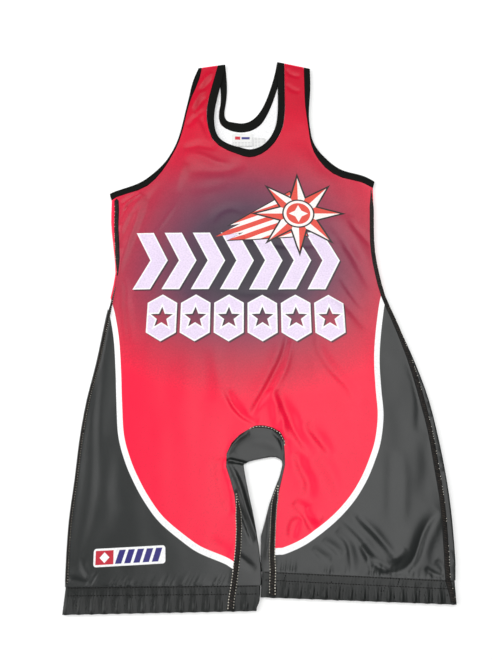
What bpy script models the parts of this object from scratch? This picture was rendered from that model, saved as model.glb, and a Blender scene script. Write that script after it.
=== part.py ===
"""Wrestling singlet laid flat on its back, front up.

The garment is ten pieces, as a maker would cut and sew them: a front and a back panel, a gusset
round the crotch, two gathered leg bands, three loops of binding and two blank labels.

Frame: +X to the right of someone looking at the front, +Y from the legs to the shoulders, +Z up.
The origin is at the middle of the underside. Tables are in millimetres, the model is in metres.
"""
import math
from collections import namedtuple

import bmesh
import bpy
import numpy as np
from mathutils import Matrix, Vector
from mathutils.kdtree import KDTree

MM = 0.001
COLLECTION = "wrestling_singlet"

# ---------------------------------------------------------------- driving dimensions, millimetres
WALL = 1.2                # cloth of the panels and the gusset
TRIM_WALL = 1.8           # doubled cloth: bindings and leg bands
FRONT_Z = 3.4             # middle of the front layer at its edges
SEAM_GAP = 0.3            # between two pieces that are sewn together
BAND_RIPPLE = 0.6         # height of the gathers on a leg band
BAND_GATHERS = 15         # gathers on the front of one band
PUFF = 2.0                # how far the front stands off the back, away from the edges
PUFF_REACH = 70.0         # distance from an edge over which it rises
CREASE_REACH = 20.0       # the same for the single creases
SHOULDER_WRAP = 1.3       # back panel in front of the shoulder's turn
UNDERARM_Y = 135.0        # rib across the panels from underarm to underarm
CENTRE_X = 1.3            # from the tables' zero to the middle of the finished garment
CREASE_FADE = 0.6         # below 1 a crease keeps its height longer towards its ends
TAPE_ROUND = 0.5          # corner taken off a binding's free edge
LABEL_WALL = 0.5

# ---------------------------------------------------------------- mesh density
STRAP_ROWS = 12           # shoulder to the bottom of the neckline
CHEST_ROWS = 6            # from there to the underarm
BODY_ROWS = 20            # underarm to the top of the crotch arch
LEG_ROWS = 13             # arch to the leg band
FRONT_COLUMNS = 13        # from one outer edge to the middle
BACK_COLUMNS = 5
BAND_ROWS = (0, 0.4, 1)   # shares of a leg band's length, from its seam to its edge
BAND_BACK_COLUMNS = 8
GATHER_STEPS = 4          # columns to one gather
TURN_STEPS = 4            # facets round a folded edge
SPLINE_STEPS = 12
SHARP_ANGLE = 40          # degrees between faces above which an edge is shaded sharp
STRAP_CROWD = 1.3         # rows close up towards the bottom of the neckline
LEG_CROWD = 1.35          # and towards the top of the arch
NECK_RIB = 0.66           # share of the armhole above the rib to the bottom of the neckline
ARCH_RIB = 0.64           # share of the side above the rib to the top of the arch

BACK_Z = WALL / 2
TURN_R = (FRONT_Z - BACK_Z) / 2
TRIM_BACK_Z = TRIM_WALL / 2
TRIM_TURN_R = (FRONT_Z - TRIM_BACK_Z) / 2
PANEL_EDGE = TURN_R + WALL / 2          # from a fold's axis to its outermost line
TRIM_EDGE = TRIM_TURN_R + TRIM_WALL / 2

# ---------------------------------------------------------------- outlines
# Cut edge of a panel and the visible width of the binding that is sewn to it.
Edge = namedtuple("Edge", "x y binding")

FRONT_NECK = (            # left shoulder, bottom of the neckline, right shoulder
    Edge(-56.1, 349.2, 11.5),
    Edge(-61.8, 321.0, 11.8),
    Edge(-67.2, 294.0, 11.8),
    Edge(-70.3, 266.0, 11.0),
    Edge(-66.6, 237.5, 9.0),
    Edge(-58.9, 218.0, 8.5),
    Edge(-46.8, 207.0, 9.8),
    Edge(-29.5, 198.3, 11.5),
    Edge(-8.5, 191.8, 13.2),
    Edge(7.8, 198.0, 11.2),
    Edge(18.8, 208.0, 9.7),
    Edge(28.2, 221.7, 9.5),
    Edge(36.0, 240.0, 9.8),
    Edge(39.9, 268.0, 10.0),
    Edge(40.5, 298.0, 9.8),
    Edge(41.2, 353.0, 11.2),
)
BACK_NECK = (
    Edge(-56.1, 349.2, 11.5),
    Edge(-53.7, 328.0, 11.0),
    Edge(-51.0, 303.0, 9.2),
    Edge(-51.0, 282.0, 7.5),
    Edge(-53.4, 263.0, 8.0),
    Edge(-50.0, 247.5, 11.0),
    Edge(-38.3, 238.8, 14.5),
    Edge(-21.6, 234.8, 15.3),
    Edge(-6.8, 237.8, 15.0),
    Edge(6.3, 248.0, 14.0),
    Edge(15.9, 266.4, 11.0),
    Edge(23.7, 287.2, 10.0),
    Edge(29.7, 308.6, 9.5),
    Edge(35.8, 332.0, 9.5),
    Edge(41.2, 353.0, 11.2),
)
LEFT_ARMHOLE = (          # shoulder to underarm; the binding rolls under where it is narrow
    Edge(-78.6, 345.2, 5.5),
    Edge(-83.2, 319.5, 8.6),
    Edge(-91.5, 294.5, 3.8),
    Edge(-96.6, 272.0, 2.6),
    Edge(-102.7, 234.0, 2.6),
    Edge(-108.0, 212.5, 2.6),
    Edge(-114.6, 195.5, 3.0),
    Edge(-123.2, 177.0, 4.8),
    Edge(-134.3, 159.0, 8.5),
    Edge(-150.0, 143.5, 10.0),
    Edge(-166.8, 136.5, 9.5),
    Edge(-182.5, 131.2, 9.3),
    Edge(-189.6, 125.8, 10.5),
)
RIGHT_ARMHOLE = (
    Edge(69.1, 345.6, 9.2),
    Edge(68.6, 303.0, 8.4),
    Edge(68.6, 280.0, 6.0),
    Edge(70.2, 257.0, 3.0),
    Edge(71.9, 237.0, 2.6),
    Edge(73.6, 217.5, 3.4),
    Edge(77.4, 201.2, 6.6),
    Edge(84.2, 186.7, 9.6),
    Edge(94.3, 172.7, 11.0),
    Edge(109.2, 161.4, 11.0),
    Edge(127.0, 155.8, 11.2),
    Edge(141.3, 151.5, 11.2),
    Edge(152.0, 144.5, 10.6),
)

# Outermost line of a side, underarm to leg band, and how much of the back panel shows in front.
Side = namedtuple("Side", "x y wrap")

LEFT_SIDE = (
    Side(-191.4, 122.5, 8.0),
    Side(-189.0, 89.0, 7.0),
    Side(-182.2, 50.0, 4.2),
    Side(-178.0, 20.0, 2.4),
    Side(-180.2, -2.0, 2.4),
    Side(-185.4, -41.0, 2.4),
    Side(-191.5, -95.0, 2.4),
    Side(-198.8, -143.0, 2.4),
    Side(-201.7, -180.0, 2.4),
    Side(-202.8, -228.0, 2.4),
    Side(-204.3, -268.0, 2.4),
    Side(-203.0, -305.0, 2.4),
    Side(-201.2, -332.2, 2.4),
)
RIGHT_SIDE = (
    Side(153.9, 141.0, 2.4),
    Side(152.2, 108.0, 2.4),
    Side(149.7, 75.0, 2.4),
    Side(149.0, 50.0, 2.4),
    Side(151.5, 21.0, 2.4),
    Side(156.4, -9.0, 2.4),
    Side(168.0, -43.0, 3.0),
    Side(183.5, -89.0, 5.5),
    Side(195.8, -135.0, 8.5),
    Side(202.0, -178.0, 9.0),
    Side(205.2, -212.0, 10.0),
    Side(206.9, -250.0, 10.0),
    Side(206.1, -288.0, 10.5),
    Side(204.6, -313.0, 10.5),
    Side(202.7, -326.0, 9.5),
)

# Gusset, left leg band round the crotch arch to the right one: front seam, outermost line of the
# fold at the inside of the legs, and width on the underside.
Rib = namedtuple("Rib", "x y fold_x fold_y under")

GUSSET = (
    Rib(-29.5, -330.7, 0.1, -330.4, 15.0),
    Rib(-26.4, -307.0, -0.1, -304.5, 15.0),
    Rib(-24.6, -287.4, -1.7, -288.4, 15.0),
    Rib(-24.8, -264.0, -6.0, -264.5, 15.0),
    Rib(-27.5, -240.0, -11.6, -240.0, 15.0),
    Rib(-33.0, -222.5, -15.2, -222.5, 15.0),
    Rib(-37.3, -207.6, -17.4, -208.9, 15.0),
    Rib(-35.6, -197.0, -16.2, -209.3, 16.0),
    Rib(-30.1, -186.4, -14.4, -208.9, 17.0),
    Rib(-21.2, -177.6, -10.5, -207.0, 17.0),
    Rib(-9.9, -171.3, -4.4, -205.4, 17.0),
    Rib(-0.9, -169.3, 1.1, -204.4, 16.5),
    Rib(13.8, -171.3, 12.3, -202.4, 15.0),
    Rib(21.1, -174.8, 17.3, -202.0, 14.0),
    Rib(26.1, -180.4, 21.1, -203.3, 13.5),
    Rib(28.5, -188.1, 24.0, -205.0, 13.0),
    Rib(28.9, -199.0, 25.8, -206.8, 13.0),
    Rib(28.8, -211.0, 26.0, -210.8, 14.0),
    Rib(25.8, -222.5, 23.0, -222.0, 15.0),
    Rib(22.6, -234.5, 18.2, -233.0, 15.0),
    Rib(19.0, -250.5, 11.4, -250.0, 15.0),
    Rib(17.3, -267.7, 6.6, -267.0, 15.0),
    Rib(16.4, -283.0, 1.9, -282.5, 15.0),
    Rib(15.5, -300.0, 1.0, -299.0, 15.0),
    Rib(16.2, -318.1, 3.1, -317.5, 15.0),
)

# Outermost corners of a leg band: its outer and inner side, where it is sewn on and at its edge.
Band = namedtuple("Band", "name outer_x outer_y inner_x inner_y edge_outer_x edge_outer_y "
                          "edge_inner_x edge_inner_y")
BANDS = (
    Band("left_leg_band", -201.2, -332.2, 0.1, -330.4, -202.0, -357.7, -2.6, -354.1),
    Band("right_leg_band", 202.7, -326.0, 3.1, -317.5, 201.9, -348.4, 1.5, -341.7),
)

# Main creases of the front: a soft ridge, or a trough where the height is negative.
Crease = namedtuple("Crease", "x0 y0 x1 y1 bow height width")

CREASES = (
    Crease(35.0, -69.0, -4.0, -152.0, 6.0, 2.6, 12.0),        # down the middle to the arch
    Crease(16.0, -130.0, 52.0, -232.0, 9.0, 2.4, 11.0),       # from the arch down the right leg
    Crease(35.0, -163.0, 92.0, -216.0, 4.0, 2.0, 11.0),
    Crease(33.0, -193.0, 81.0, -261.0, 4.0, 2.0, 11.0),
    Crease(-42.0, -124.0, -8.0, -161.0, 4.0, 2.0, 11.0),      # above the arch, left
    Crease(-49.0, -214.0, -36.0, -262.0, 2.0, -1.2, 11.0),    # along the left inseam
    Crease(-177.0, -28.0, -184.0, -300.0, 3.0, 1.8, 11.0),    # down the left leg
    Crease(192.0, -258.0, 140.0, -316.0, -5.0, 2.4, 12.0),    # across the right leg's corner
    Crease(88.0, -266.0, 134.0, -318.0, 3.0, 1.6, 11.0),
    Crease(101.0, 101.0, 143.0, -3.0, 4.0, 1.8, 12.0),        # right flank
    Crease(-175.0, 34.0, -140.0, 128.0, 6.0, 1.8, 12.0),      # left flank
    Crease(-163.0, 12.0, -157.0, -60.0, 0.0, 1.2, 14.0),
    Crease(-93.0, 273.0, -67.0, 251.0, 2.0, 1.8, 8.0),        # left strap
    Crease(-80.0, 250.0, -42.0, 203.0, 3.0, 1.6, 10.0),       # beside the neckline
    Crease(-101.0, 203.0, -109.0, 158.0, 2.0, 1.6, 10.0),     # beside the left armhole
    Crease(-92.0, 178.0, -20.0, 180.0, -5.0, -1.2, 13.0),     # under the neckline
    Crease(56.0, 215.0, 96.0, 150.0, -4.0, 1.2, 11.0),        # beside the right armhole
)

# Blank labels: middle, size and turn in degrees.
Label = namedtuple("Label", "name x y width length turn")
LABELS = (
    Label("neck_label", -19.5, 221.0, 27.0, 20.5, 1.5),
    Label("care_label", 3.3, 215.0, 15.5, 20.0, -3.0),
)

# ---------------------------------------------------------------- finishes
# Base colour and roughness.
Finish = namedtuple("Finish", "colour roughness")
FINISHES = {
    "lycra_red": Finish((0.75, 0.04, 0.09), 0.5),
    "lycra_black": Finish((0.035, 0.037, 0.04), 0.45),
    "binding_black": Finish((0.015, 0.015, 0.016), 0.6),
    "label_white": Finish((0.85, 0.85, 0.83), 0.55),
}


# ---------------------------------------------------------------- curves
def spline(table):
    """Points of a smooth curve through a table's rows, with every column carried along."""
    rows = np.array(table, float)
    spans = np.linalg.norm(np.diff(rows[:, :2], axis=0), axis=1)[:, None]
    slopes = np.diff(rows, axis=0) / spans
    inner = (slopes[:-1] * spans[1:] + slopes[1:] * spans[:-1]) / (spans[:-1] + spans[1:])
    tangents = np.vstack([slopes[:1], inner, slopes[-1:]])
    points = [rows[0]]
    for i, span in enumerate(spans):
        for t in np.linspace(0, 1, SPLINE_STEPS + 1)[1:]:
            points.append(
                (1 + 2 * t) * (1 - t) ** 2 * rows[i] + t * (1 - t) ** 2 * span * tangents[i]
                + t * t * (3 - 2 * t) * rows[i + 1] + t * t * (t - 1) * span * tangents[i + 1])
    return np.array(points)


def stations(curve, shares):
    """Points of a curve at the given shares of its length."""
    steps = np.linalg.norm(np.diff(curve[:, :2], axis=0), axis=1)
    run = np.concatenate([[0], np.cumsum(steps)])
    wanted = np.asarray(shares) * run[-1]
    return np.stack([np.interp(wanted, run, column) for column in curve.T], axis=1)


def length(curve):
    return np.linalg.norm(np.diff(curve[:, :2], axis=0), axis=1).sum()


def crossways(points, hand):
    """Unit vectors square to a run of points, to its left (hand 1) or right (hand -1)."""
    along = np.gradient(points[:, :2], axis=0)
    square = hand * np.stack([-along[:, 1], along[:, 0]], axis=1)
    return square / np.linalg.norm(square, axis=1)[:, None]


def unit(vector):
    return vector / np.linalg.norm(vector)


def shares(rows, start=0.0, end=1.0, crowd_start=1.0, crowd_end=1.0):
    """rows + 1 shares from start to end, closer together where a crowd is above 1."""
    u = np.linspace(0, 1, rows + 1) ** crowd_start
    return start + (end - start) * (1 - (1 - u) ** crowd_end)


def chain(*runs):
    """Runs of points end to end, the shared point kept once."""
    return np.vstack([runs[0]] + [run[1:] for run in runs[1:]])


# ---------------------------------------------------------------- the gusset's ribs
def gusset_ribs():
    """Seam, fold axis, direction out over the fold, and back seam of each rib, left to right."""
    curve = spline(GUSSET)
    top = np.argmax(curve[:, 1])
    down = shares(LEG_ROWS, crowd_start=LEG_CROWD)
    left = stations(curve[top::-1], down)
    right = stations(curve[top:], down)
    ribs = chain(left[::-1], right)
    seam, fold, under = ribs[:, :2], ribs[:, 2:4], ribs[:, 4:]
    across = fold - seam
    out = across / np.linalg.norm(across, axis=1)[:, None]
    axis = fold - out * PANEL_EDGE
    return seam, axis, out, axis - out * under


# ---------------------------------------------------------------- the rows of one half
Half = namedtuple("Half", "hand armhole neck_start turn out seam shoulder_out")


def half_outline(hand, armhole_table, side_table, neck_start, hem_inner):
    """Stations of one half's armhole and side; hand is -1 for the left and 1 for the right."""
    armhole = spline(armhole_table)
    strap_shares = shares(STRAP_ROWS, 0, NECK_RIB, crowd_end=STRAP_CROWD)
    chest_shares = shares(CHEST_ROWS, NECK_RIB, 1)
    side = spline(side_table)
    rows = chain(stations(side, shares(BODY_ROWS, 0, ARCH_RIB)),
                 stations(side, shares(LEG_ROWS, ARCH_RIB, 1, crowd_start=LEG_CROWD)))
    out = crossways(rows, hand)
    out[0] = unit(unit(armhole[-1, :2] - armhole[-2, :2]) + out[0])
    out[-1] = unit(rows[-1, :2] - hem_inner)
    turn = rows[:, :2] - out * PANEL_EDGE
    turn[0] = armhole[-1, :2]
    seam = turn - out * (rows[:, 2:] - PANEL_EDGE)
    shoulder = neck_start - armhole[0, :2]
    shoulder_out = unit(np.array([-shoulder[1], shoulder[0]]) * -hand)
    front_end = 1 - (rows[0, 2] - PANEL_EDGE) / length(armhole)
    front_start = SHOULDER_WRAP / length(armhole)
    spread = np.concatenate([strap_shares, chest_shares[1:]])
    front = stations(armhole, front_start + (front_end - front_start) * spread)
    seam[0] = front[-1, :2]
    armholes = {"front": front, "back": stations(armhole, spread)}
    return Half(hand, armholes, neck_start, turn, out, seam, shoulder_out)


def neck_halves(table, trim_start):
    """Left and right stations of a neckline, each from its shoulder to the lowest point."""
    curve = spline(table)
    low = np.argmin(curve[:, 1])
    halves = []
    for run in (curve[:low + 1], curve[low:][::-1]):
        start = trim_start / length(run)
        halves.append(stations(run, shares(STRAP_ROWS, start, 1, crowd_end=STRAP_CROWD)))
    return halves


def middle_line(top, bottom):
    """Stations of the panel's middle, from the bottom of the neckline to the crotch arch."""
    line = np.array([top, bottom])
    split = (top[1] - UNDERARM_Y) / (top[1] - bottom[1])
    return stations(line, np.concatenate([shares(CHEST_ROWS, 0, split),
                                          shares(BODY_ROWS, split, 1)[1:]]))


# ---------------------------------------------------------------- meshes
def point(xy, z):
    return Vector((xy[0] - CENTRE_X, xy[1], z)) * MM


def loft(bm, sections, closed=False):
    """Quads between neighbouring sections, each a list of points; closed joins last to first."""
    rings = [[bm.verts.new(p) for p in section] for section in sections]
    pairs = list(zip(rings, rings[1:]))
    if closed:
        pairs.append((rings[-1], rings[0]))
    for one, two in pairs:
        for i in range(len(one) - 1):
            bm.faces.new((one[i], one[i + 1], two[i + 1], two[i]))
    return rings


def turn_points(axis, out, radius, low_z):
    """Points over a folded edge, from the front layer down to the back layer."""
    angles = np.linspace(math.pi / 2, -math.pi / 2, TURN_STEPS + 1)
    return [point(axis + out * radius * math.cos(a), low_z + radius + radius * math.sin(a))
            for a in angles]


def straight(one, two, columns, z):
    return [point(one + (two - one) * i / columns, z) for i in range(columns + 1)]


def ease(t):
    t = min(max(t, 0.0), 1.0)
    return t * t * (3 - 2 * t)


def crease_height(crease, x, y):
    """Height of one crease at a place: a bowed ridge that fades to nothing at its two ends."""
    start = Vector((crease.x0, crease.y0))
    run = Vector((crease.x1, crease.y1)) - start
    offset = Vector((x, y)) - start
    along = offset.dot(run) / run.length_squared
    if not 0 < along < 1:
        return 0.0
    sideways = run.cross(offset) / run.length - crease.bow * 4 * along * (1 - along)
    fade = math.sin(math.pi * along) ** CREASE_FADE
    return crease.height * fade * math.exp(-(sideways / crease.width) ** 2)


def rest_front(bm):
    """Lift the front off the back, with its creases; its edges stay at the seams' height."""
    border = [v.co.copy() for v in bm.verts if v.is_boundary]
    tree = KDTree(len(border))
    for i, co in enumerate(border):
        tree.insert(co, i)
    tree.balance()
    for v in bm.verts:
        inside = tree.find(v.co)[2] / MM
        x, y = v.co.x / MM + CENTRE_X, v.co.y / MM
        folds = sum(crease_height(crease, x, y) for crease in CREASES)
        v.co.z += (PUFF * ease(inside / PUFF_REACH) + folds * ease(inside / CREASE_REACH)) * MM


def finish(name, bm, finish_name, wall=None):
    """Make the object; wall, in millimetres, gives an open surface its thickness."""
    bmesh.ops.remove_doubles(bm, verts=bm.verts, dist=0.01 * MM)
    bmesh.ops.recalc_face_normals(bm, faces=bm.faces)
    mesh = bpy.data.meshes.new(name)
    bm.to_mesh(mesh)
    bm.free()
    mesh.shade_smooth()
    mesh.set_sharp_from_angle(angle=math.radians(SHARP_ANGLE))
    obj = bpy.data.objects.new(name, mesh)
    bpy.data.collections[COLLECTION].objects.link(obj)
    obj.data.materials.append(bpy.data.materials[finish_name])
    if wall:
        solid = obj.modifiers.new("wall", "SOLIDIFY")
        solid.thickness = wall * MM
        solid.offset = 0
        solid.use_even_offset = True
    return obj


def build_front(halves, necks, gusset):
    seam, middle = gusset[0], LEG_ROWS
    centre = middle_line(necks[0][-1, :2], seam[middle])
    arches = (seam[middle::-1], seam[middle:])
    bm = bmesh.new()
    for half, neck, arch in zip(halves, necks, arches):
        outer = chain(half.armhole["front"][:, :2], half.seam)
        inner = chain(neck[:, :2], centre, arch)
        inset = SEAM_GAP / 2
        outer[len(half.armhole["front"]):] -= half.out[1:] * inset
        loft(bm, [straight(o, i, FRONT_COLUMNS, FRONT_Z) for o, i in zip(outer, inner)])
    bmesh.ops.remove_doubles(bm, verts=bm.verts, dist=0.01 * MM)
    rest_front(bm)
    return finish("front_panel", bm, "lycra_red", WALL)


def build_back(halves, necks, front_necks, gusset):
    axis, back_seam, middle = gusset[1], gusset[3], LEG_ROWS
    centre = middle_line(necks[0][-1, :2], back_seam[middle])
    arches = (back_seam[middle::-1], back_seam[middle:])
    bm = bmesh.new()
    for half, neck, front_neck, arch in zip(halves, necks, front_necks, arches):
        outer = chain(half.armhole["back"][:, :2], half.turn)
        inner = chain(neck[:, :2], centre, arch)
        loft(bm, [straight(o, i, BACK_COLUMNS, BACK_Z) for o, i in zip(outer, inner)])
        lift = half.shoulder_out * SEAM_GAP
        shoulder = [straight(half.armhole["front"][0, :2] + lift, front_neck[0, :2] + lift,
                             BACK_COLUMNS, FRONT_Z)]
        for ring in zip(turn_points(outer[0], half.shoulder_out, TURN_R, BACK_Z),
                        turn_points(inner[0], half.shoulder_out, TURN_R, BACK_Z)):
            shoulder.append([ring[0].lerp(ring[1], i / BACK_COLUMNS)
                             for i in range(BACK_COLUMNS + 1)])
        loft(bm, shoulder)
        sides = []
        for seam, turn, out in zip(half.seam, half.turn, half.out):
            start = point(seam + out * SEAM_GAP / 2, FRONT_Z)
            sides.append([start] + turn_points(turn, out, TURN_R, BACK_Z))
        loft(bm, sides)
    return finish("back_panel", bm, "lycra_red", WALL)


def build_gusset(gusset):
    bm = bmesh.new()
    sections = []
    for seam, axis, out, back_seam in zip(*gusset):
        front = straight(seam + out * SEAM_GAP, axis, 2, FRONT_Z)
        back = straight(axis, back_seam + out * SEAM_GAP, 2, BACK_Z)
        sections.append(front[:-1] + turn_points(axis, out, TURN_R, BACK_Z) + back[1:])
    loft(bm, sections)
    return finish("crotch_gusset", bm, "lycra_black", WALL)


def build_band(band):
    """A flattened ring of doubled cloth, its front gathered by the elastic inside."""
    top = np.array([[band.outer_x, band.outer_y], [band.inner_x, band.inner_y]])
    edge = np.array([[band.edge_outer_x, band.edge_outer_y], [band.edge_inner_x, band.edge_inner_y]])
    down = unit((edge - top).mean(axis=0))
    bm = bmesh.new()
    sections = []
    for share in BAND_ROWS:
        ends = top + (edge - top) * share + down * SEAM_GAP * (1 - share)
        out = unit(ends[0] - ends[1])
        outer, inner = ends[0] - out * TRIM_EDGE, ends[1] + out * TRIM_EDGE
        front = straight(outer, inner, BAND_GATHERS * GATHER_STEPS, FRONT_Z)
        for i, p in enumerate(front):
            p.z += BAND_RIPPLE * share * math.sin(i / GATHER_STEPS * 2 * math.pi) * MM
        back = straight(inner, outer, BAND_BACK_COLUMNS, TRIM_BACK_Z)
        near = turn_points(inner, -out, TRIM_TURN_R, TRIM_BACK_Z)
        far = turn_points(outer, out, TRIM_TURN_R, TRIM_BACK_Z)[::-1]
        sections.append(front + near[1:-1] + back + far[1:])
    loft(bm, sections)
    return finish(band.name, bm, "lycra_black", TRIM_WALL)


# ---------------------------------------------------------------- bindings
# A place on a binding: the cut edge it is sewn to, the ways out from it and up, and its width.
Place = namedtuple("Place", "base out up width")


def flat_places(points, hand, front, first_out=None, last_out=None):
    """Places along a cut edge on the front or back layer, turned to a fold's line at its ends."""
    out = crossways(points, hand)
    for index, beside, given in ((0, 1, first_out), (-1, -2, last_out)):
        if given is not None:
            out[beside] = unit(out[beside] + given)
            out[index] = given
    z, up = (FRONT_Z, 1) if front else (TRIM_BACK_Z, -1)
    return [Place(point(p, z), Vector((*o, 0)), Vector((0, 0, up)), p[2])
            for p, o in zip(points, out)]


def fold_places(axis, over, out, width):
    """Places over a folded edge, from the front layer to the back one."""
    bases = turn_points(axis, over, TRIM_TURN_R, TRIM_BACK_Z)
    angles = np.linspace(math.pi / 2, -math.pi / 2, TURN_STEPS + 1)
    return [Place(base, Vector((*out, 0)), Vector((*(over * math.cos(a)), math.sin(a))), width)
            for base, a in zip(bases, angles)]


def build_binding(name, places):
    """A closed loop of folded tape: square where it is sewn on, rounded at its free edge."""
    bm = bmesh.new()
    high, low = TRIM_WALL / 2, -TRIM_WALL / 2
    sections = []
    for place in places:
        edge = place.width
        profile = ((SEAM_GAP, low), (SEAM_GAP, high), (edge - TAPE_ROUND, high),
                   (edge, high - TAPE_ROUND), (edge, low + TAPE_ROUND), (edge - TAPE_ROUND, low))
        ring = [place.base + place.out * a * MM + place.up * h * MM for a, h in profile]
        sections.append(ring + ring[:1])
    loft(bm, sections, closed=True)
    return finish(name, bm, "binding_black")


def build_neck_binding(halves, front_necks, back_necks):
    left, right = halves
    into = {half.hand: np.array([half.shoulder_out[1], -half.shoulder_out[0]]) * -half.hand
            for half in halves}
    front = np.vstack([front_necks[0], front_necks[1][-2::-1]])
    back = np.vstack([back_necks[0], back_necks[1][-2::-1]])
    places = flat_places(front, 1, True, into[-1], into[1])
    places += fold_places(right.neck_start, right.shoulder_out, into[1], front[-1, 2])
    places += flat_places(back, 1, False, into[-1], into[1])[-2:0:-1]
    places += fold_places(left.neck_start, left.shoulder_out, into[-1], front[0, 2])[::-1]
    return build_binding("neck_binding", places)


def build_armhole_binding(name, half):
    front, back = half.armhole["front"], half.armhole["back"]
    away = np.array([half.shoulder_out[1], -half.shoulder_out[0]]) * half.hand
    under_out = np.array([-half.out[0][1], half.out[0][0]]) * half.hand
    places = flat_places(front, half.hand, True, away, under_out)
    places += fold_places(half.turn[0], half.out[0], under_out, back[-1, 2])
    places += flat_places(back, half.hand, False, away, under_out)[-2:0:-1]
    places += fold_places(back[0, :2], half.shoulder_out, away, back[0, 2])[::-1]
    return build_binding(name, places)


def build_label(label):
    low = WALL + SEAM_GAP
    bpy.ops.mesh.primitive_cube_add(size=1)
    obj = bpy.context.object
    obj.name = obj.data.name = label.name
    obj.data.transform(Matrix.Diagonal((label.width * MM, label.length * MM, LABEL_WALL * MM, 1)))
    obj.location = point((label.x, label.y), low + LABEL_WALL / 2)
    obj.rotation_euler.z = math.radians(label.turn)
    for collection in obj.users_collection:
        collection.objects.unlink(obj)
    bpy.data.collections[COLLECTION].objects.link(obj)
    obj.data.materials.append(bpy.data.materials["label_white"])
    return obj


# ---------------------------------------------------------------- assembly
def clear_scene():
    for obj in list(bpy.data.objects):
        bpy.data.objects.remove(obj)


def make_materials():
    for name, look in FINISHES.items():
        material = bpy.data.materials.new(name)
        material.use_nodes = True
        shader = material.node_tree.nodes["Principled BSDF"]
        shader.inputs["Base Color"].default_value = (*look.colour, 1)
        shader.inputs["Roughness"].default_value = look.roughness
        shader.inputs["Metallic"].default_value = 0


def main():
    clear_scene()
    bpy.context.scene.collection.children.link(bpy.data.collections.new(COLLECTION))
    make_materials()
    hem_inner = [np.array([band.inner_x, band.inner_y]) for band in BANDS]
    neck_ends = [np.array([edge.x, edge.y]) for edge in (FRONT_NECK[0], FRONT_NECK[-1])]
    halves = (half_outline(-1, LEFT_ARMHOLE, LEFT_SIDE, neck_ends[0], hem_inner[0]),
              half_outline(1, RIGHT_ARMHOLE, RIGHT_SIDE, neck_ends[1], hem_inner[1]))
    front_necks = neck_halves(FRONT_NECK, SHOULDER_WRAP)
    back_necks = neck_halves(BACK_NECK, 0)
    gusset = gusset_ribs()
    build_front(halves, front_necks, gusset)
    build_back(halves, back_necks, front_necks, gusset)
    build_gusset(gusset)
    for band in BANDS:
        build_band(band)
    build_neck_binding(halves, front_necks, back_necks)
    build_armhole_binding("left_armhole_binding", halves[0])
    build_armhole_binding("right_armhole_binding", halves[1])
    for label in LABELS:
        build_label(label)


main()
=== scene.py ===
"""Looks of a wrestling singlet laid flat, front up: cloth, print, sewing, floor and light.

Every piece of cloth is a fine shell on the form of its solid, and its folds are placed one by one.
Tables are in millimetres, in the frame of the solids: +X right, +Y from legs to shoulders, +Z up.
"""

import math
from collections import namedtuple

import bmesh
import bpy
import numpy as np
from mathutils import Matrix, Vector, noise
from mathutils.bvhtree import BVHTree
from mathutils.geometry import delaunay_2d_cdt
from mathutils.kdtree import KDTree


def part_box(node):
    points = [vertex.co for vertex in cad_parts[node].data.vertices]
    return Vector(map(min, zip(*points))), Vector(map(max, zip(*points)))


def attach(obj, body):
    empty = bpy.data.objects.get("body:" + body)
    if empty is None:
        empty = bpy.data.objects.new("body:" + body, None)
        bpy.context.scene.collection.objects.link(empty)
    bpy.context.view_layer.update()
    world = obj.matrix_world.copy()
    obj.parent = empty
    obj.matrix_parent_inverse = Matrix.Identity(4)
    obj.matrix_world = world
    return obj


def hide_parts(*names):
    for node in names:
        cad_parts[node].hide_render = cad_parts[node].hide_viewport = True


MM = 0.001
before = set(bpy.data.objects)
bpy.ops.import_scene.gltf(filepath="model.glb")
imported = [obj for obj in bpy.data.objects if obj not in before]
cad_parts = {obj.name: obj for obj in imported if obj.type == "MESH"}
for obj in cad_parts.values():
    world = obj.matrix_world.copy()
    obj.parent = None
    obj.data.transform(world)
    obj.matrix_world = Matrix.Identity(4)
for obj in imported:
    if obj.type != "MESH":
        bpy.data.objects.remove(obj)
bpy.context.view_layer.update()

# ---------------------------------------------------------------- sizes, millimetres
CLOTH = 0.9               # thickness of a shell
FRONT_PITCH = 2.8         # spacing of the front's points
FINE_PITCH = 1.5          # and where folds are narrow
FINE_PLACES = (           # left, right, bottom, top
    (-210, 0, -340, -288), (0, 210, -340, -250), (-46, 46, -214, -60), (-192, -144, 20, 140),
    (-105, -55, 235, 352), (38, 72, 290, 350),
)
OUTLINE_PITCH = 2.0       # spacing of the points along its edge
BACK_PITCH = (6.0, 6.0)   # spacing of the other pieces' points, across and along
GUSSET_PITCH = (1.4, 1.6)
BAND_PITCH = (0.8, 2.0)
LABEL_PITCH = (1.5, 1.5)
FOLD_RISE = 1.45          # the front's folds are this much higher than in their table
FOLD_SPREAD = 1.3         # and this much wider
GUSSET_RISE = 2.5         # the gusset's folds are this much higher than in theirs
LOWEST = 2.5              # a fold brings the front's upper side no lower than this
LOW_BLEND = 0.25          # and eases into it over this height
SMOOTHING = 5.0           # over which the front's facets are smoothed
EDGE_HOLD = 9.0           # along the cut edges the front keeps the height of the solid
FOLD_HOLD = 4.0           # over which a fold dies at a seam
BACK_LAYER = 2.4          # a folded piece's lower layer ends at this height
LAYER_BLEND = 1.2         # and its upper one is reached over this much
LAYERS_APART = Vector((1, 1, 4))   # stretch that keeps a fold's two layers apart
MERGED = 0.002            # points of a solid nearer than this are one
ABOVE_ALL = 100.0         # height from which surfaces are looked for
SHARP = math.radians(50)  # an edge that turns more is drawn sharp
CURL, CURL_LENGTH = 0.25, 6.0      # of the labels
STRIPE = 6.5              # width of the white stripe
BETWEEN_LEGS = -6.0       # x that parts the two stripes
BLUR = 0.35               # softness of a printed edge
DOT_PITCH = 2.7           # of the pale stitches along the seams
ARCH_PITCH = 3.4          # of the stitches round the crotch arch
HEM_PITCH = 3.0           # of the stitches along the leg bands
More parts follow.
